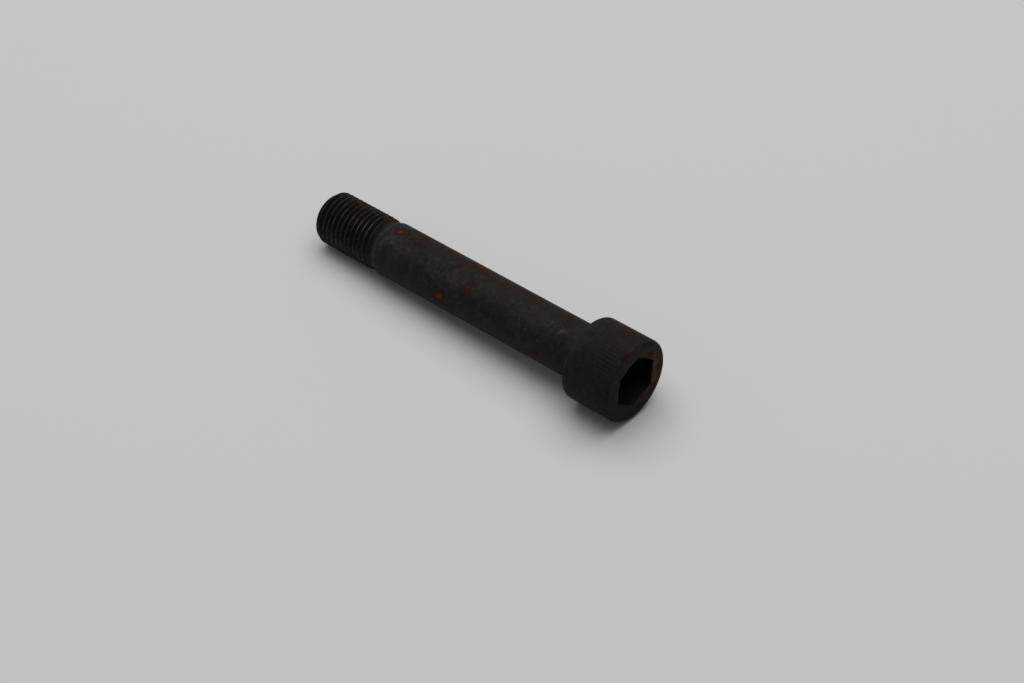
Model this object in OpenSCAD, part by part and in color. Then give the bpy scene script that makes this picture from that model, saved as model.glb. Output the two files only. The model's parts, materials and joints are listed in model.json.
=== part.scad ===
// Hex socket head cap screw with a fine right-hand thread and a long plain shank.
// All lengths are millimetres. The screw lies on its side as it comes to rest: the rim
// of the head and the threaded end touch the ground, so the head end of the axis is high.
// Inside the modules the screw stands on its own axis: z = 0 is the bearing face under
// the head, the head is above it and the shank below. +x there is the side that ends up
// at the bottom.

/* [Screw] */
// Diameter of the plain shank
shank_d = 14; // [14:0.05:16]
// Length from the bearing face under the head to the end of the thread
length = 85; // [35:1:200]
// Radius of the fillet between the bearing face and the shank
seat_fillet = 0.7; // [0.2:0.1:1.2]

/* [Head] */
// Diameter over the lands of the knurl
head_d = 21.2; // [19:0.1:26]
// Height of the head
head_h = 14; // [10:0.5:20]
// Radius of the rounded edge round the outer face
face_round = 0.8; // [0.3:0.1:1.5]
// Radius of the rounded edge beside the bearing face
seat_round = 1.1; // [0.3:0.1:1.3]

/* [Knurl] */
// Number of straight grooves round the head
knurl_count = 84; // [60:4:100]
// Depth of a groove below the lands
knurl_depth = 0.22; // [0.05:0.01:0.3]
// Width of the land left between two grooves
knurl_land = 0.28; // [0.1:0.01:0.35]

/* [Hex socket] */
// Width of the hexagon across its flats
socket_af = 12; // [8:0.1:13]
// Depth of the hexagon's flats
socket_depth = 7; // [4:0.5:8]
// Turn of the hexagon about the axis, in degrees
socket_turn = -8; // [-30:1:30]
// Width of the bevel at the middle of each side of the hexagon's mouth
socket_bevel = 0.3; // [0.1:0.05:0.5]

/* [Thread] */
// Outside diameter of the thread
thread_d = 13.95; // [12:0.05:13.95]
// Distance from one turn to the next
pitch = 1.5; // [1:0.25:2]
// Length of the full-depth thread, from its end
thread_length = 17.5; // [8:0.5:30]
// Length over which the last turns fade out
runout = 2.25; // [1:0.25:4]
// Length of the plain neck between the faded thread and the shoulder
neck_length = 0.25; // [0.25:0.25:4]
// Length of the cone in which the neck widens to the shank
shoulder_length = 1.3; // [0.5:0.1:4]
// Length of the bevelled point at the end
point_h = 1.7; // [1:0.1:3]
// Diameter of the flat end
point_d = 11.3; // [9:0.1:11.4]
// Turns by which the first thread crest starts before the end, on the lower side
thread_start = 0.5; // [0:0.1:0.9]

/* [Hidden] */

$fn = 96;

// Steps in a quarter round, and how far a cutting shape runs past what it cuts
arc_steps = 8;
over = 1;

head_r = head_d / 2;
shank_r = shank_d / 2;

// Form of the thread, as shares of the pitch. A 60 degree thread has a flat crest, two
// straight flanks and a rounded root. Each station is [place along the pitch, depth].
// The blank it is rolled on lies blank_depth below the crests.
basic_depth = 0.5413;
root_depth = 0.6134;
stations = [
    [0, 0],
    [1 / 8, 0],
    [7 / 16, basic_depth],
    [9 / 16, root_depth],
    [11 / 16, basic_depth]
];
blank_depth = 0.325;
crest_r = thread_d / 2;
blank_r = crest_r - blank_depth * pitch;
point_r = point_d / 2;

// Mesh columns round the thread. A flat side lies at the bottom, flat_r from the axis.
columns = 48;
flat_r = crest_r * cos(180 / columns);

// The neck is a hair wider than the rolled blank, whose end is set into it
neck_step = 0.03;
neck_r = blank_r + neck_step;
neck_inset = 0.3;
rod_length = thread_length + runout + neck_inset;
neck_start = thread_length + runout;

// Knurl: a star whose points reach past the lands, so the head's own side stays as lands
knurl_half = PI * head_r / knurl_count;
knurl_valley_r = head_r - knurl_depth;
knurl_point_r = knurl_valley_r + knurl_depth * knurl_half / (knurl_half - knurl_land / 2);

// Socket: corners of the hexagon, and half the angle of the cone at its bottom
socket_corner_r = socket_af / sqrt(3);
cone_angle = 59;
socket_cone_h = (socket_af / 2) / tan(cone_angle);

// Rest: the line that touches the round edge beside the bearing face and the first full
// crest of the thread. Distances along the axis count from the bearing face.
first_turn = ceil(point_h / pitch + thread_start);
crest_z = -length + (first_turn - thread_start) * pitch;
edge_r = head_r - seat_round;
fall = edge_r - flat_r;
reach = seat_round - crest_z;
tilt = acos(-seat_round / norm([fall, reach])) - atan2(reach, fall);
axis_z = flat_r * cos(tilt) - crest_z * sin(tilt);

// Furthest points along the ground, to put the origin under the middle of the screw
head_x = (head_h - face_round) * cos(tilt) + (head_r - face_round) * sin(tilt) + face_round;
end_x = -length * cos(tilt) - point_r * sin(tilt);
middle_x = (head_x + end_x) / 2;

// Points of a quarter round in the (radius, height) plane, from angle a to angle b
function quarter(centre, r, a, b) =
    [for (i = [0 : arc_steps]) let (t = a + (b - a) * i / arc_steps)
        centre + r * [cos(t), sin(t)]];

// Half section of the head, the plain shank, the shoulder and the neck
module turned_blank() {
    rotate_extrude()
        polygon(concat(
            [[0, head_h]],
            quarter([head_r - face_round, head_h - face_round], face_round, 90, 0),
            quarter([head_r - seat_round, seat_round], seat_round, 0, -90),
            quarter([shank_r + seat_fillet, -seat_fillet], seat_fillet, 90, 180),
            [
                [shank_r, neck_start + neck_length + shoulder_length - length],
                [neck_r, neck_start + neck_length - length],
                [neck_r, neck_start - length],
                [0, neck_start - length]
            ]
        ));
}

// Star prism that cuts the straight knurl; a groove lies at the bottom
module knurl_star() {
    translate([0, 0, -length - over])
        linear_extrude(length + head_h + 2 * over)
            polygon([for (i = [0 : 2 * knurl_count - 1])
                let (a = 180 * i / knurl_count, r = i % 2 == 0 ? knurl_valley_r : knurl_point_r)
                    r * [cos(a), sin(a)]]);
}

// Hexagonal socket, the cone that the punch leaves below it, and the 45 degree cone that
// bevels the sides of its mouth
module hex_socket() {
    mouth_r = socket_af / 2 + socket_bevel;
    rotate(socket_turn)
        translate([0, 0, head_h - socket_depth])
            cylinder(h = socket_depth + over, r = socket_corner_r, $fn = 6);
    translate([0, 0, head_h - socket_depth - socket_cone_h])
        cylinder(h = socket_cone_h, r1 = 0, r2 = socket_af / 2);
    translate([0, 0, head_h - mouth_r])
        cylinder(h = mouth_r + over, r1 = 0, r2 = mouth_r + over);
}

// Helical thread, with z = 0 at its end. Each station is a line that climbs one pitch a
// turn, and the first column lies half a column past the bottom, so a side lies flat on
// it. Lines beyond either end of the rod are held on its end planes, so the ends are flat.
line_count = len(stations) * ceil(rod_length / pitch + 2);

function column_turn(i) = (i + 1 / 2) / columns;

function turns_up(k, i) =
    floor(k / len(stations)) + stations[k % len(stations)][0] + column_turn(i)
        - 1 - thread_start;

function line_z(k, i) = min(max(pitch * turns_up(k, i), 0), rod_length);

// Full-depth thread, faded towards the blank at its inner end and bevelled at the point
function line_r(k, z) =
    let (
        full = crest_r - stations[k % len(stations)][1] * pitch,
        fade = min(max((thread_length + runout - z) / runout, 0), 1),
        bevel = point_r + (crest_r - point_r) * z / point_h
    )
    min(blank_r + (full - blank_r) * fade, bevel);

// Last line held on the lower end plane, and first one held on the upper, in column i
function lowest(i) =
    max([for (k = [0 : line_count]) if (pitch * turns_up(k, i) <= 0) k]);
function highest(i) =
    min([for (k = [0 : line_count]) if (pitch * turns_up(k, i) >= rod_length) k]);

module thread() {
    low = [for (i = [0 : columns - 1]) lowest(i)];
    high = [for (i = [0 : columns - 1]) highest(i)];
    points = [for (i = [0 : columns - 1], k = [0 : line_count])
        let (z = line_z(k, i), r = line_r(k, z), a = 360 * column_turn(i))
            [r * cos(a), r * sin(a), z]];
    // After a full turn a line meets the one that is a whole thread form further up
    function at(k, i) =
        i == columns ? at(k + len(stations), 0)
            : i * (line_count + 1) + min(max(k, low[i]), high[i]);
    function distinct(t) = t[0] != t[1] && t[1] != t[2] && t[2] != t[0];
    strips = [for (i = [0 : columns - 1], k = [0 : line_count - 1])
        for (t = [
            [at(k, i), at(k + 1, i + 1), at(k, i + 1)],
            [at(k, i), at(k + 1, i), at(k + 1, i + 1)]
        ]) if (distinct(t)) t];
    end_face = [for (i = [0 : columns - 1]) at(0, i)];
    inner_face = [for (i = [columns - 1 : -1 : 0]) at(line_count, i)];
    polyhedron(points, concat(strips, [end_face, inner_face]));
}

module screw() {
    color("#2c2724")
        translate([-middle_x, 0, axis_z])
            rotate([0, 90 - tilt, 0])
                union() {
                    difference() {
                        intersection() {
                            turned_blank();
                            knurl_star();
                        }
                        hex_socket();
                    }
                    translate([0, 0, -length])
                        thread();
                }
}

screw();
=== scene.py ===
"""A long socket head cap screw lying on a pale floor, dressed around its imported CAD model.

The screw is one forging, so the skin is built patch by patch from the thread's end to the
bottom of the key socket, and the patches are then closed into one mesh.
"""

import json
import math

import bpy
import numpy as np
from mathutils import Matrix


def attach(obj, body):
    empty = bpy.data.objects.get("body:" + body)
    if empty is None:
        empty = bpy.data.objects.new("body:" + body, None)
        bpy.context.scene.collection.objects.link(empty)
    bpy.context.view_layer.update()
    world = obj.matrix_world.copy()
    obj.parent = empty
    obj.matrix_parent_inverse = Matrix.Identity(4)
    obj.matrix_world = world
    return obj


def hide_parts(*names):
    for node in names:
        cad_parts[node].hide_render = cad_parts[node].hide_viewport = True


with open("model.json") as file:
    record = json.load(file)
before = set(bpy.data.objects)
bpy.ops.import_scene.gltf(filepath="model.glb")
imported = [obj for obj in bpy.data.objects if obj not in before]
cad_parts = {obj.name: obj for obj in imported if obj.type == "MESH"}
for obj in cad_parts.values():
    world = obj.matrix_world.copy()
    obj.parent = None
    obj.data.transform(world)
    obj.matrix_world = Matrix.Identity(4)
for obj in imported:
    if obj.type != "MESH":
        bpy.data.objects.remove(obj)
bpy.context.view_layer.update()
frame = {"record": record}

# ---------------------------------------------------------------------------------------
# Threaded end. The end of the steel bar, cropped flat and bevelled, with a fine right-hand
# thread rolled on it: the crests stand above the neck, the roots are round and the last
# turns fade out.
mm = 0.001
screw_length = 85 * mm
head_h = 14 * mm
thread_length = 17.5 * mm
runout = 2.25 * mm
rolled_length = thread_length + runout
pitch = 1.5 * mm
crest_r = 6.95 * mm
blank_r = 6.4875 * mm
point_h = 1.7 * mm
point_r = 5.63 * mm
dish = 0.12 * mm
shank_columns = 168

# Form of the thread, in pitches, and turns by which its first crest starts before the end
crest_half = 1 / 16
crest_wear = 0.03
root_radius = 0.1443
root_depth = 0.6134
thread_start = 0.5

drive = next(m for m in frame["record"]["mounts"] if m["name"] == "hex_drive")
along = np.array(drive["axis"])
seat = np.array(drive["pos_m"]) - head_h * along
side = np.array([0.0, 1.0, 0.0])
down = np.cross(side, along)

patches = []


def patch(z, angle, r, worn_and_sheen=0.0, deep=0.0):
    """Adds a grid of the skin, with rows along the screw and columns round it.

    A point lies at seat + z * along + r * (cos(angle) * down + sin(angle) * side), so z
    counts from the bearing face under the head, and the angle from the lowest side. The
    last two values say how bare and how dark the skin is: bare where wear has rubbed the
    steel, and painted bare in places as glints, a sheen, a floor reflection and highlights;
    dark with dirt in grooves and corners, and with painted shade in the socket.
    """
    patches.append(np.stack(np.broadcast_arrays(z, angle, r, worn_and_sheen, deep), axis=-1))


def lobe(angle, centre, width):
    """1 at the centre and 1/e at a width to either side of it, both in degrees.

    It is exp((cos(angle - centre) - 1) / (1 - cos(width))), which has no seam.
    """
    away = angle - math.radians(centre)
    return np.exp((np.cos(away) - 1) / (1 - math.cos(math.radians(width))))


def hump(off, width):
    """1 where off is 0 and 1/e a width to either side: exp(-(off / width) ** 2)."""
    return np.exp(-(off / width) ** 2)


def thread_depth(turn):
    """Depth below the crest, in pitches, where turn counts pitches from a crest's middle.

    A 60 degree flank falls from the crest's edge to a round root. The crest's edges are
    rubbed round, by taking (f + sqrt(f * f + w * w)) / 2 of the flank's depth f, where w
    is the wear.
    """
    off = np.abs((turn + 0.5) % 1 - 0.5)
    flank = (off - crest_half) * math.tan(math.radians(60))
    root = root_depth - root_radius + np.sqrt(
        np.maximum(root_radius**2 - (0.5 - off) ** 2, 0))
    in_root = off > 0.5 - root_radius * math.cos(math.radians(30))
    return np.where(in_root, root, (flank + np.sqrt(flank**2 + crest_wear**2)) / 2)


# Rows follow the helix. Each turn has the same lines, counted in pitches from the crest's
# middle and close together on crest and root. They climb with the angle, and stay on
# either end beyond it.
lines = np.array([0, 0.04, 0.07, 0.1, 0.375, 0.43, 0.5, 0.57, 0.625, 0.9, 0.93, 0.96])
turns = math.ceil(rolled_length / pitch) + 2
angle = np.linspace(0, 2 * math.pi, shank_columns + 1)
line = (np.arange(-1, turns)[:, None] + lines).reshape(-1, 1)
climb = angle / (2 * math.pi) - (thread_start - crest_half)
up = np.clip(pitch * (line + climb), 0, rolled_length)
depth = thread_depth(up / pitch - climb)
fade = np.clip((rolled_length - up) / runout, 0, 1)
thread_r = blank_r + (crest_r - depth * pitch - blank_r) * fade

# The bevel has worn round, and the cropped end is slightly dished
bevel = 1 - np.maximum(1 - up / point_h, 0) ** 1.5
thread_r = np.minimum(thread_r, point_r + (crest_r - point_r) * bevel)
share = np.linspace(0, 1, 6)[:, None]
patch(dish * (1 - share**4) - screw_length, angle, point_r * share, worn_and_sheen=0.2 * share)

# Crests are rubbed bright. They are painted brighter still, as bare steel, for glints where
# they stand beside the neck and for a sheen along the upper back edge. Roots are dark with
# dirt, less where dust has silted them up, and painted lighter along the upper back edge.
# Along one low front side, crests and roots are both painted lighter, as a reflection of
# the floor. crest is 1 on the crests of full turns, and root is 1 from a quarter of a pitch
# down.
crest = fade**3 * np.clip(1 - depth / 0.07, 0, 1) * np.clip(up / point_h - 0.3, 0, 1)
root = np.sqrt(fade) * np.clip(depth / 0.25, 0, 1)
crest_sheen = lobe(angle, centre=150, width=16)
crest_glints = lobe(angle, centre=212, width=14) * hump(up - 15.5 * mm, width=3 * mm)
silted_and_sheen = 0.5 * lobe(angle, centre=120, width=50) + 0.4 * crest_sheen
floor_reflection = fade * lobe(angle, centre=282, width=24)
patch(up - screw_length, angle, thread_r,
      worn_and_sheen=(0.6 + 0.9 * crest_glints + 0.8 * crest_sheen) * crest + 0.5 * floor_reflection,
      deep=(1 - 0.8 * floor_reflection - silted_and_sheen) * root)

# ---------------------------------------------------------------------------------------
# Shank. The steel bar's own drawn surface, 14 mm across. It narrows over a short cone to
# the neck beside the thread, and ends in a small fillet under the head's bearing face.
shank_r = 7 * mm
neck_r = 6.5175 * mm
neck_length = 0.25 * mm
neck_end = rolled_length + neck_length - screw_length
neck_round = 0.8 * mm
shoulder_length = 1.3 * mm
shoulder_round = 1.2 * mm
seat_fillet = 0.7 * mm
# The shank's skin goes on to this distance from the axis, on the bearing face
seat_in = 8.3 * mm


def outline(corners, radii, step):
    """The (z, r) line through the corners, as one array of z and one of r.

    Each corner between the ends is an arc of its own radius that touches both sides. half
    is half the angle between them, and middle points midway between them. The centre is
    corner + middle * radius / sin(half), and the arc's point at each swing from -middle is
    centre + radius * (across * sin(swing) - middle * cos(swing)), up to 90 degrees less
    half either way. Straight stretches get a point at least every step.
    """
    corners = np.array(corners)
    points = [corners[:1]]
    for before, corner, after, radius in zip(corners, corners[1:], corners[2:], radii):
        ahead = (after - corner) / np.linalg.norm(after - corner)
        back = (before - corner) / np.linalg.norm(before - corner)
        half = math.acos(np.clip(ahead @ back, -1, 1)) / 2
        middle = (ahead + back) / np.linalg.norm(ahead + back)
        across = (ahead - back) / np.linalg.norm(ahead - back)
        centre = corner + middle * radius / math.sin(half)
        swing = np.linspace(-1, 1, 7)[:, None] * (math.pi / 2 - half)
        points.append(centre + radius * (across * np.sin(swing) - middle * np.cos(swing)))
    points = np.concatenate(points + [corners[-1:]])
    run = np.append(0, np.cumsum(np.linalg.norm(np.diff(points, axis=0), axis=1)))
    counts = np.maximum(np.ceil(np.diff(run) / step), 1).astype(int)
    places = np.concatenate([np.linspace(a, b, n, endpoint=False)
                             for a, b, n in zip(run, run[1:], counts)] + [run[-1:]])
    return [np.interp(places, run, points[:, k])[:, None] for k in (0, 1)]


z, r = outline([
    (rolled_length - screw_length, blank_r),
    (neck_end, neck_r),
    (neck_end + shoulder_length, shank_r),
    (0, shank_r),
    (0, seat_in),
], radii=[neck_round, shoulder_round, seat_fillet], step=0.35 * mm)

# A slanting blow has left a bright nick near the head, with steel pushed up into a lip
# round it, 1.6 times as far out as its edge. Rows are closer together along it.
nick_z = -6.1 * mm
nick_angle = math.radians(204)
nick_slant = math.radians(33)
nick_half_length = 0.9 * mm
nick_half_width = 0.5 * mm
nick_depth = 0.12 * mm
lip_out = 1.6
lip_width = 0.387
lip_height = 0.024 * mm
fine_reach = 1.5 * mm
fine_step = 0.15 * mm
fine = np.arange(-fine_reach, fine_reach, fine_step)[:, None] + nick_z
order = np.argsort(np.concatenate([z, fine]), axis=0, kind="stable")[:, 0]
z = np.concatenate([z, fine])[order]
r = np.concatenate([r, np.full_like(fine, shank_r)])[order]
ahead = z - nick_z
across = shank_r * (angle - nick_angle)
off = np.hypot(
    (ahead * math.cos(nick_slant) - across * math.sin(nick_slant)) / nick_half_length,
    (ahead * math.sin(nick_slant) + across * math.cos(nick_slant)) / nick_half_width)
nick = hump(off, width=1)
lip = hump(off - lip_out, width=lip_width)

# The shoulder's cone is painted as bare steel, a painted highlight along the shoulder, and
# dirt lies in the corner under the head
shoulder_highlight = hump(z - neck_end - 0.6 * mm, width=0.8 * mm)
corner = np.clip(1 + (z - 0.2 * mm) / (1.4 * mm), 0, 1)
patch(z, angle, r - nick_depth * nick + lip_height * lip, worn_and_sheen=0.35 * shoulder_highlight + nick,
      deep=0.4 * corner)

# ---------------------------------------------------------------------------------------
# Head. Cold-forged from the bar's end, as high as the shank is wide, with both rims
# rounded and a straight knurl rolled round it, a groove to each millimetre.
head_r = 10.595 * mm
seat_round = 1.1 * mm
face_round = 0.8 * mm
# The head's skin goes in to this distance from the axis, on the outer face
face_in = 9.4 * mm
grooves = 66
knurl_depth = 0.07 * mm
knurl_land = 0.28 * mm
knurl_turn = math.radians(-1.2)

# Columns of one groove, as shares of the way to the next: its valley, then one near the
# top of a flank, three on the land, and one near the top of the next flank
parts = np.array([0, 0.27, 0.37, 0.5, 0.63, 0.73])
steps = np.arange(len(parts) * grooves + 1)
groove, part = steps // len(parts), parts[steps % len(parts)]
knurl_angle = knurl_turn + 2 * math.pi * (groove + part) / grooves
flank = 0.5 - knurl_land / (2 * math.pi * head_r / grooves) / 2
valley = np.clip(1 - np.minimum(part, 1 - part) / flank, 0, 1)

z, r = outline([
    (0, seat_in),
    (0, head_r),
    (head_h, head_r),
    (head_h, face_in),
], radii=[seat_round, face_round], step=0.5 * mm)

# Wear has made the knurl shallow. It is plainest in a patch near the outer face and along
# the far side. left is the share of its depth that is left.
patchy = lobe(knurl_angle, centre=214, width=24)
sheltered = lobe(knurl_angle, centre=70, width=60)
left = 0.15 + 0.85 * np.maximum(patchy * hump(z - 9.5 * mm, width=4.5 * mm),
                                sheltered * hump(z - 7 * mm, width=6 * mm))
knurled_r = np.minimum(r, head_r - knurl_depth * left * valley)

# Columns of the first row lie on the shank's columns, some of them doubled, so that the
# two patches meet point on point
first = shank_columns * steps // steps[-1]
head_angle = np.where(np.arange(len(z))[:, None] > 0,
                      knurl_angle, 2 * math.pi * first / shank_columns)

# Old oil is caked in the valleys, on the side of the head alone, and in the corner under
# it. Rolling about has rubbed the middle of the outer rim's round, which lies rim_in from
# both the side and the face.
rim_in = 0.23 * mm
rim = hump(np.hypot(z - head_h + rim_in, r - head_r + rim_in), width=0.45 * mm)
rolled = 0.2 * np.cos(head_angle) ** 2
side_wall = np.clip((r - head_r + 0.4 * mm) / (0.3 * mm), 0, 1)
corner = np.clip((9.2 * mm - r) / (1 * mm), 0, 1) * (z < head_h / 2)
caked = 0.1 + np.maximum(0.7 * patchy * hump(z - 11 * mm, width=2.5 * mm),
                         0.45 * sheltered)
patch(z, head_angle, knurled_r,
      worn_and_sheen=rolled * rim, deep=caked * side_wall * valley + 0.4 * corner)

# ---------------------------------------------------------------------------------------
# Key socket. A hexagon, 12 mm across its flats, punched 7 mm deep into the outer face,
# with a small bevel along the middle of each side and a shallow cone at the bottom.
socket_af = 12 * mm
socket_depth = 7 * mm
socket_turn = math.radians(-8)
socket_bevel = 0.3 * mm
cone_angle = math.radians(59)
cone_h = socket_af / 2 / math.tan(cone_angle)

# Columns start at the socket's corner nearest the first groove, 66 of them to a side
offset = round(socket_turn / (2 * math.pi) * steps[-1])
hex_angle = socket_turn + 2 * math.pi * (steps - offset) / steps[-1]
in_side = (hex_angle - socket_turn) % (math.pi / 3) - math.pi / 6
hex_r = socket_af / 2 / np.cos(in_side)
mouth_r = np.maximum(hex_r, socket_af / 2 + socket_bevel)
bevel_h = mouth_r - hex_r

# The bevel and the walls are painted black as shade, apart from the lowest wall, which
# faces the light and is painted as bare steel near the mouth, a painted highlight. The face
# round them has been brushed bare on one side.
socket_shade = 0.95
lit_wall = 0.5 * lobe(hex_angle, centre=5, width=32)
share = np.append(np.linspace(0, 0.96, 8), 1)[:, None]
face_angle = knurl_angle + (hex_angle - knurl_angle) * share
brushed = np.sqrt(share) * lobe(face_angle, centre=80, width=45)
patch(head_h, face_angle, face_in + (mouth_r - face_in) * share,
      worn_and_sheen=np.where(share < 1, 0.15 * share**6 + 0.3 * brushed, 0.7 * lit_wall),
      deep=np.where(share < 1, 0, socket_shade * (1 - lit_wall)))

# Rows down the walls: the bevel's rim, its foot, one close under it, and then evenly to the
# bottom. The painted shade ends 3 mm down, and a lighter painted shade lies below it.
wall = np.append([0, 0.12 * mm], np.linspace(0.6 * mm, socket_depth, 9))[:, None]
wall_z = np.minimum(head_h - wall, head_h - bevel_h)
into = np.append(0, wall)[:, None]
upper_wall_shade = socket_shade * np.interp(into, np.array([2.2, 3]) * mm, [1, 0])
lower_wall_shade = np.interp(into, np.array([3, 3.8]) * mm, [0, 0.4])
patch(np.concatenate([np.full((1, len(steps)), head_h), wall_z]), hex_angle,
      np.concatenate([mouth_r[None, :], np.repeat(hex_r[None, :], len(wall), axis=0)]),
      worn_and_sheen=lit_wall * np.exp(-into / (0.4 * mm)),
      deep=upper_wall_shade * (1 - lit_wall) + lower_wall_shade)
floor_r = np.linspace(1, 0, 7)[:, None] * hex_r
cone_z = head_h - socket_depth - cone_h * np.clip(1 - floor_r / (socket_af / 2), 0, 1)
patch(cone_z, hex_angle, floor_r)

# ---------------------------------------------------------------------------------------
# Whole screw. Thread, shank, head and socket are one forging of alloy steel with no joint
# in it, so the patches are merged along their shared edges, which closes the skin.
weld_gap = 0.0001 * mm


def triangles(rows, columns, start):
    """Two triangles for each cell of a grid whose points are numbered from start."""
    index = start + np.arange(rows * columns).reshape(rows, columns)
    a, b = index[:-1, :-1].ravel(), index[:-1, 1:].ravel()
    c, d = index[1:, 1:].ravel(), index[1:, :-1].ravel()
    return np.concatenate([np.stack([a, b, c], 1), np.stack([a, c, d], 1)])


faces = []
start = 0
for grid in patches:
    rows, columns = grid.shape[:2]
    faces.append(triangles(rows, columns, start))
    start += rows * columns
faces = np.concatenate(faces)
z, angle, r, worn_and_sheen, deep = np.concatenate([grid.reshape(-1, 5) for grid in patches]).T
points = (seat + z[:, None] * along
          + r[:, None] * (np.cos(angle)[:, None] * down + np.sin(angle)[:, None] * side))

_, kept, merged = np.unique(np.round(points / weld_gap).astype(np.int64), axis=0,
                            return_index=True, return_inverse=True)
faces = merged.ravel()[faces]
whole = ((faces[:, 0] != faces[:, 1]) & (faces[:, 1] != faces[:, 2])
         & (faces[:, 2] != faces[:, 0]))
faces = faces[whole]
points, z, angle, r = points[kept], z[kept], angle[kept], r[kept]
worn_and_sheen, deep = worn_and_sheen[kept], deep[kept]

mesh = bpy.data.meshes.new("cap_screw")
mesh.from_pydata(points.tolist(), [], faces.tolist())
mesh.shade_smooth()
mesh.set_sharp_from_angle(angle=math.radians(40))
screw = bpy.data.objects.new("cap_screw", mesh)
bpy.context.scene.collection.objects.link(screw)
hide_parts("screw")
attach(screw, "root")

# ---------------------------------------------------------------------------------------
# Finish. Black oxide on alloy steel: a hot salt bath turns the surface itself into a thin
# coat, oiled afterwards. To the eye it is near black and dull, with soft glints only along
# rubbed edges, and here it has aged brown, been scuffed grey and blistered with rust.
warm_coat = "#19130F"
cool_coat = "#1A1815"
scuffed_coat = "#302E2A"
browned_coat = "#15100A"
pale_dust_and_sheen = "#2B2219"
dirt_and_shade = "#0A0604"
bare_steel_and_sheen = "#57534E"
rust_stain = "#21120B"
orange_rust = "#54260F"

# Rust and scuffs: the place along the screw in mm, the angle in degrees, the distance from
# the axis in mm, half the length along the screw, half the width, and the strength
rust_marks = [
    (-60.7, 180, 7, 1.4, 1.3, 0.9), (-57.3, 180, 7, 1.4, 1.0, 0.65),
    (-53.3, 186, 7, 2.0, 1.2, 0.5), (-49.1, 208, 7, 1.0, 1.2, 0.5),
    (-42.0, 264, 7, 2.0, 2.2, 0.9), (-40.0, 269, 7, 1.7, 1.5, 0.7),
    (-35.3, 232, 7, 0.9, 1.1, 0.6), (-34.7, 221, 7, 1.1, 1.5, 0.65),
    (-33.9, 208, 7, 0.9, 1.2, 0.65), (-40.3, 185, 7, 1.4, 1.1, 0.5),
    (-37.3, 154, 7, 2.8, 1.6, 0.7), (-34.3, 163, 7, 1.6, 1.4, 0.6),
    (-28.3, 241, 7, 1.4, 1.2, 0.42), (-26.7, 246, 7, 1.2, 1.6, 0.5),
    (-20, 258, 7, 2.0, 0.8, 0.5), (-10.6, 273, 7, 1.6, 1.4, 0.45),
    (-7.4, 208, 7, 0.9, 1.0, 0.45), (-2.2, 288, 7.2, 0.8, 2.0, 0.6),
    (1.3, 255, 10.6, 1.0, 1.4, 0.75), (2.8, 290, 10.6, 1.2, 1.4, 0.5),
    (12, 257, 10.6, 1.6, 1.0, 0.5), (13.3, 198, 10.6, 0.9, 1.6, 0.5),
    (8.6, 154, 10.6, 2.4, 1.4, 0.75), (2.5, 195, 10.6, 1.6, 1.4, 0.4),
    (14, 131, 7.1, 1.0, 1.4, 0.7), (14, 85, 8.8, 1.0, 1.8, 0.5),
    (14, 45, 8.8, 1.2, 2.0, 0.55), (14, 143, 9.9, 1.0, 1.4, 0.45),
    # Thin streaks along the upper back edge
    (-55, 158, 7, 5.0, 1.5, 0.5), (-47, 156, 7, 6.0, 1.4, 0.45),
    (-20, 160, 7, 9.0, 1.6, 0.45), (-8, 156, 7, 4.0, 1.4, 0.45),
    (2.5, 152, 10.6, 2.0, 1.2, 0.45), (12, 152, 10.6, 1.6, 1.2, 0.45),
    # The far side and the underside
    (-12, 60, 7, 2.5, 2.0, 0.55), (-28, 95, 7, 1.8, 2.6, 0.7),
    (-47, 40, 7, 3.0, 1.6, 0.5), (7, 70, 10.6, 2.6, 1.6, 0.5),
    (-55, 110, 7, 1.6, 2.4, 0.55), (5, 10, 10.6, 1.6, 2.6, 0.5),
]
scuff_marks = [
    (-60.5, 208, 7, 2.4, 2.2, 1.0), (-55, 212, 7, 3.0, 1.6, 0.8),
    (-47, 214, 7, 3.5, 2.2, 0.6), (-39, 216, 7, 3.5, 2.4, 0.9),
    (-31, 208, 7, 3.0, 2.0, 0.6), (-17, 214, 7, 4.5, 2.6, 0.7),
    (-10, 206, 7, 3.5, 2.6, 0.7), (-62.5, 230, 7, 1.0, 3.0, 0.6),
    # The first mark on the next line paints glints on the crests beside the neck
    (-71.5, 207, 7, 3.5, 1.3, 1.0), (7.5, 259, 10.6, 4.5, 4.0, 0.5),
    # The far side and the underside
    (-30, 20, 7, 5.0, 3.0, 0.7), (-50, 75, 7, 4.0, 3.0, 0.7),
    (-15, 120, 7, 5.0, 2.5, 0.6),
]


def marked(marks):
    """How strongly the marks reach each point: strength * exp(-d * d) of the mark that
    reaches it most, where d is the distance in half lengths and half widths."""
    reach = np.zeros(len(points))
    for mark_z, mark_angle, mark_r, long, wide, strength in marks:
        turn = math.radians(mark_angle)
        outward = math.cos(turn) * down + math.sin(turn) * side
        off = points - (seat + mark_z * mm * along + mark_r * mm * outward)
        lengthways = off @ along
        across = np.linalg.norm(off - lengthways[:, None] * along, axis=1)
        distance = np.hypot(lengthways / (long * mm), across / (wide * mm))
        reach = np.maximum(reach, strength * hump(distance, width=1))
    return reach


def ramps(*knots):
    """Straight ramps along the screw through knots of a place in mm and a value there."""
    places, values = np.array(knots).T
    return np.interp(z, places * mm, values)


# The coat has browned most on the head, apart from its front, and on the thread. It has
# browned less along the top of the shank and low on its front, and not at all down in the
# socket.
outside = np.where((z > 0) & (r < shank_r), np.clip(1 - (head_h - z) / (1 * mm), 0, 1), 1)
top_and_front = (0.35 * lobe(angle, centre=185, width=38)
                 + 0.25 * lobe(angle, centre=290, width=26))
brown = ramps((-67, 0.9), (-64, 0.4), (-62, 0), (-10, 0), (-4, 0.45), (0, 0.45), (6, 0.9),
              (14, 1.0))
brown *= 1 - 0.25 * lobe(angle, centre=259, width=32) * (z > 0)
brown += top_and_front * ramps((-62, 0), (-56, 1), (-8, 1), (-2, 0))
brown = np.clip(brown, 0, 1) * outside
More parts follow.
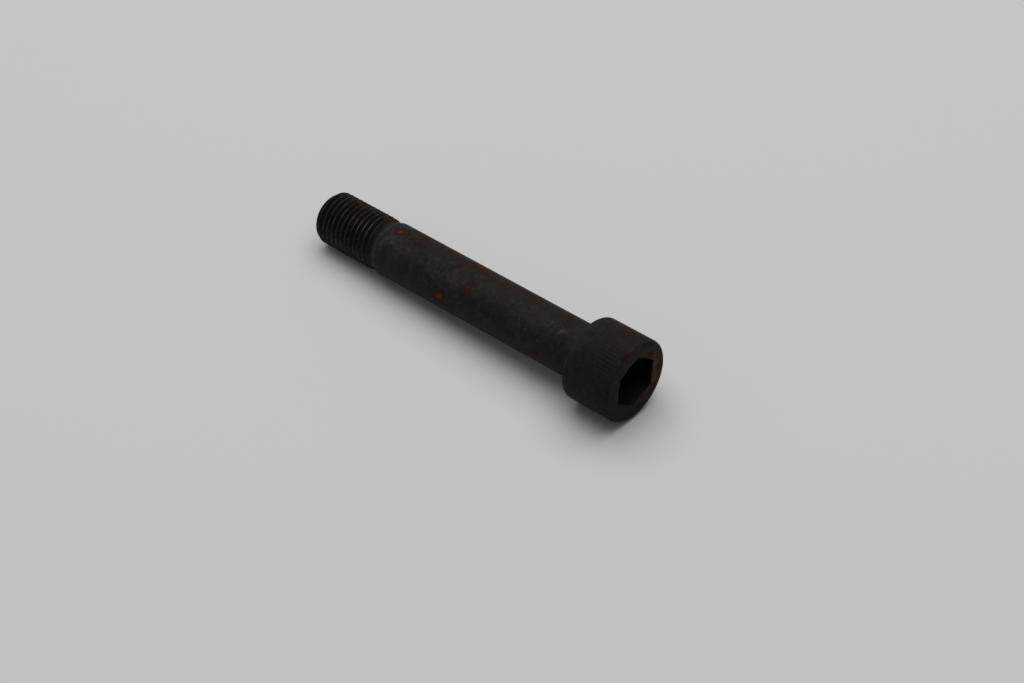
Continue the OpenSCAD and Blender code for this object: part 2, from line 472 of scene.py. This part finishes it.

# Dry dust clings to the corner under the head and the rim beside it, and to the far side of
# the head. The same pale colour is painted as a sheen along the upper back of the shank and
# the thread, and as a reflection of the floor low on the front of the thread, but not on
# the middle of the flat end
under_head = 0.6 * hump(z, width=2.2 * mm)
far_side = 1.1 * np.cos((angle - math.radians(90)) / 2) ** 6 * (z > 0)
upper_back_sheen = lobe(angle, centre=148, width=14) * ramps((-66, 1.1), (-64, 0.4), (-3, 0.4),
                                                       (0, 0))
low_front_reflection = 0.5 * lobe(angle, centre=283, width=20) * ramps((-66, 1), (-64, 0))
off_middle = np.clip((r - 5 * mm) / (0.6 * mm), 0, 1)
dust_and_sheen = np.maximum(under_head, far_side) * outside + off_middle * (upper_back_sheen + low_front_reflection)

layers = {"worn_and_sheen": worn_and_sheen, "deep": deep, "brown": brown, "dust_and_sheen": dust_and_sheen,
          "rust": marked(rust_marks), "scuffed": marked(scuff_marks)}
for name, values in layers.items():
    layer = mesh.attributes.new(name, "FLOAT", "POINT")
    layer.data.foreach_set("value", values.astype(np.float32))

steel = bpy.data.materials.new("black_oxide_on_alloy_steel")
steel.use_nodes = True
steel.node_tree.nodes.clear()
mesh.materials.append(steel)


def linear(code):
    """An sRGB hex colour as the linear RGBA that a shader takes.

    A channel c becomes c / 12.92 up to 0.04045, and ((c + 0.055) / 1.055) ** 2.4 above.
    """
    channels = np.array([int(code[k:k + 2], 16) for k in (1, 3, 5)]) / 255
    low, high = channels / 12.92, ((channels + 0.055) / 1.055) ** 2.4
    return (*np.where(channels <= 0.04045, low, high), 1.0)


def add(material, kind, settings, *values, **named):
    """Adds a node with its settings to a material and returns its outputs by name.

    Values fill the sockets in use from the first on, and named ones fill the sockets of
    those names, with _ for a space. A value is a number, a colour or another output.
    """
    node = material.node_tree.nodes.new(kind)
    for name, setting in settings.items():
        setattr(node, name, setting)
    filled = list(zip([socket for socket in node.inputs if socket.enabled], values))
    filled += [(node.inputs[name.replace("_", " ")], value) for name, value in named.items()]
    for socket, value in filled:
        if isinstance(value, bpy.types.NodeSocket):
            material.node_tree.links.new(value, socket)
        else:
            socket.default_value = value
    return {socket.name: socket for socket in node.outputs if socket.enabled}


place = add(steel, "ShaderNodeTexCoord", {})["Object"]
marks = {name: add(steel, "ShaderNodeAttribute", {"attribute_name": name})["Fac"]
         for name in layers}

# Clouds of age are some 5 mm across and flecks of scuffing 1.3 mm. The coat's own grain is
# finer than a hundredth of a millimetre, too fine to show, so it is drawn at 0.3 mm, which
# is as coarse as it needs to show.
cloud = add(steel, "ShaderNodeTexNoise", {}, Vector=place, Scale=1 / (5 * mm), Detail=6,
            Roughness=0.62, Distortion=0.3)["Fac"]
fleck = add(steel, "ShaderNodeTexNoise", {}, Vector=place, Scale=1 / (1.3 * mm), Detail=8,
            Roughness=0.7, Distortion=0.2)["Fac"]
grain = add(steel, "ShaderNodeTexNoise", {}, Vector=place, Scale=1 / (0.3 * mm),
            Detail=3)["Fac"]
aged = add(steel, "ShaderNodeMapRange", {}, cloud, From_Min=0.36, From_Max=0.64)["Result"]
film = add(steel, "ShaderNodeMix", {"data_type": "RGBA"}, aged, linear(warm_coat),
           linear(cool_coat))["Result"]

# Scuffs are flecks, close together where a mark says and thinly strewn elsewhere, most on
# the greyer clouds
handled = add(steel, "ShaderNodeMath", {"operation": "MULTIPLY_ADD"}, marks["scuffed"], 0.14,
              fleck)["Value"]
scuff = add(steel, "ShaderNodeMath", {"operation": "MULTIPLY_ADD"}, aged, 0.06,
            handled)["Value"]
scuff = add(steel, "ShaderNodeMapRange", {}, scuff, From_Min=0.5, From_Max=0.85)["Result"]
film = add(steel, "ShaderNodeMix", {"data_type": "RGBA"}, scuff, film,
           linear(scuffed_coat))["Result"]
browning = add(steel, "ShaderNodeMapRange", {}, fleck, From_Min=0.35, From_Max=0.65,
               To_Min=1.0, To_Max=0.7)["Result"]
browning = add(steel, "ShaderNodeMath", {"operation": "MULTIPLY"}, marks["brown"],
               browning)["Value"]
film = add(steel, "ShaderNodeMix", {"data_type": "RGBA"}, browning, film,
           linear(browned_coat))["Result"]

# Pale brown dust, which also stands as a painted sheen along the upper back edge and a
# painted floor reflection low on the thread's front; dark dirt in the grooves, and painted
# shade in the socket; and then bare steel where an edge is rubbed or a scuff is fresh, which
# also paints glints, sheens, a floor reflection and highlights
dusting_and_sheen = add(steel, "ShaderNodeMapRange", {}, fleck, From_Min=0.35, From_Max=0.65,
              To_Min=0.6, To_Max=1.2)["Result"]
dusting_and_sheen = add(steel, "ShaderNodeMath", {"operation": "MULTIPLY"}, marks["dust_and_sheen"],
              dusting_and_sheen)["Value"]
film = add(steel, "ShaderNodeMix", {"data_type": "RGBA"}, dusting_and_sheen, film,
           linear(pale_dust_and_sheen))["Result"]
film = add(steel, "ShaderNodeMix", {"data_type": "RGBA"}, marks["deep"], film,
           linear(dirt_and_shade))["Result"]
fresh = add(steel, "ShaderNodeMapRange", {}, handled, From_Min=0.7, From_Max=0.9)["Result"]
rubbing = add(steel, "ShaderNodeMapRange", {}, handled, From_Min=0.38,
              From_Max=0.7)["Result"]
bare_and_sheen = add(steel, "ShaderNodeMath", {"operation": "MULTIPLY_ADD", "use_clamp": True},
           marks["worn_and_sheen"], rubbing, fresh)["Value"]
film = add(steel, "ShaderNodeMix", {"data_type": "RGBA"}, bare_and_sheen, film,
           linear(bare_steel_and_sheen))["Result"]

# Rust has a crumbly crust of about a millimetre, so it is ragged at its edges. It is
# orange in the middle, with a dark brown stain round it.
crust = add(steel, "ShaderNodeTexNoise", {}, Vector=place, Scale=1 / (1.1 * mm), Detail=8,
            Roughness=0.75)["Fac"]
crust = add(steel, "ShaderNodeMapRange", {}, crust, From_Min=0.3, From_Max=0.7, To_Min=0.4,
            To_Max=1.6)["Result"]
ragged = add(steel, "ShaderNodeMath", {"operation": "MULTIPLY"}, marks["rust"],
             crust)["Value"]
stain = add(steel, "ShaderNodeMapRange", {}, ragged, From_Min=0.15, From_Max=0.55)["Result"]
film = add(steel, "ShaderNodeMix", {"data_type": "RGBA"}, stain, film,
           linear(rust_stain))["Result"]
rusty = add(steel, "ShaderNodeMapRange", {}, ragged, From_Min=0.5, From_Max=1.05)["Result"]
film = add(steel, "ShaderNodeMix", {"data_type": "RGBA"}, rusty, film,
           linear(orange_rust))["Result"]

# The coat is dull, duller where it has browned or rusted, and smoother on bare steel,
# where it is rubbed and where glints, sheens and highlights are painted
rough = add(steel, "ShaderNodeMapRange", {}, cloud, From_Min=0.3, From_Max=0.7, To_Min=0.55,
            To_Max=0.68)["Result"]
rough = add(steel, "ShaderNodeMath", {"operation": "MULTIPLY_ADD"}, bare_and_sheen, -0.2,
            rough)["Value"]
rough = add(steel, "ShaderNodeMath", {"operation": "MULTIPLY_ADD"}, browning, 0.15,
            rough)["Value"]
rough = add(steel, "ShaderNodeMath", {"operation": "MULTIPLY_ADD"}, stain, 0.2,
            rough)["Value"]

# Flecks, grain and the rust's crust make a relief of a few hundredths of a millimetre
relief = add(steel, "ShaderNodeMath", {"operation": "MULTIPLY_ADD"}, grain, 0.8,
             fleck)["Value"]
relief = add(steel, "ShaderNodeMath", {"operation": "MULTIPLY_ADD"}, stain, crust,
             relief)["Value"]
relief = add(steel, "ShaderNodeBump", {}, Strength=0.7, Distance=0.06 * mm,
             Height=relief)["Normal"]
shade = add(steel, "ShaderNodeBsdfPrincipled", {}, Base_Color=film, Metallic=bare_and_sheen,
            Roughness=rough, Specular_IOR_Level=0.12, Normal=relief)["BSDF"]
add(steel, "ShaderNodeOutputMaterial", {}, Surface=shade)

# ---------------------------------------------------------------------------------------
# Stage. The floor is a sheet of pale board, much wider than the view. Its matt paper face
# gives the eye an even light grey with a soft shadow and no glare.
floor_reach = 4.0
floor_mesh = bpy.data.meshes.new("floor")
floor_mesh.from_pydata([(-floor_reach, -floor_reach, 0), (floor_reach, -floor_reach, 0),
                        (floor_reach, floor_reach, 0), (-floor_reach, floor_reach, 0)],
                       [], [(0, 1, 2, 3)])
floor = bpy.data.objects.new("floor", floor_mesh)
bpy.context.scene.collection.objects.link(floor)
board = bpy.data.materials.new("pale_matt_board")
board.use_nodes = True
board_shade = board.node_tree.nodes["Principled BSDF"]
board_shade.inputs["Base Color"].default_value = linear("#C9C9C9")
board_shade.inputs["Roughness"].default_value = 0.9
board_shade.inputs["Specular IOR Level"].default_value = 0.2
floor_mesh.materials.append(board)

# An even grey room, and one big soft light over the screw that faces it
room = bpy.data.worlds.new("room")
room.use_nodes = True
room.node_tree.nodes["Background"].inputs["Color"].default_value = linear("#DADADA")
room.node_tree.nodes["Background"].inputs["Strength"].default_value = 0.32
bpy.context.scene.world = room
softbox_data = bpy.data.lights.new("softbox", "AREA")
softbox_data.size = 1.6
softbox_data.energy = 19.5
softbox = bpy.data.objects.new("softbox", softbox_data)
bpy.context.scene.collection.objects.link(softbox)
softbox.location = (-0.15, 0.2, 1.35)
softbox.rotation_euler = (-softbox.location).to_track_quat("-Z", "Y").to_euler()

# The camera looks down past the head at the whole screw, from turn degrees round it and
# rise degrees above the floor
camera_data = bpy.data.cameras.new("camera")
camera_data.lens = 88.77
camera_data.sensor_width = 36
camera_data.clip_start = 0.01
camera = bpy.data.objects.new("camera", camera_data)
bpy.context.scene.collection.objects.link(camera)
turn = math.radians(41.695)
rise = math.radians(42.332)
distance = 0.6109
aim = np.array([0.010556, 0.000553, 0])
back = np.array([math.sin(turn) * math.cos(rise), -math.cos(turn) * math.cos(rise),
                 math.sin(rise)])
camera.location = aim + distance * back
camera.rotation_euler = (math.pi / 2 - rise, 0, turn)
bpy.context.scene.camera = camera
bpy.context.scene.view_settings.view_transform = "Standard"
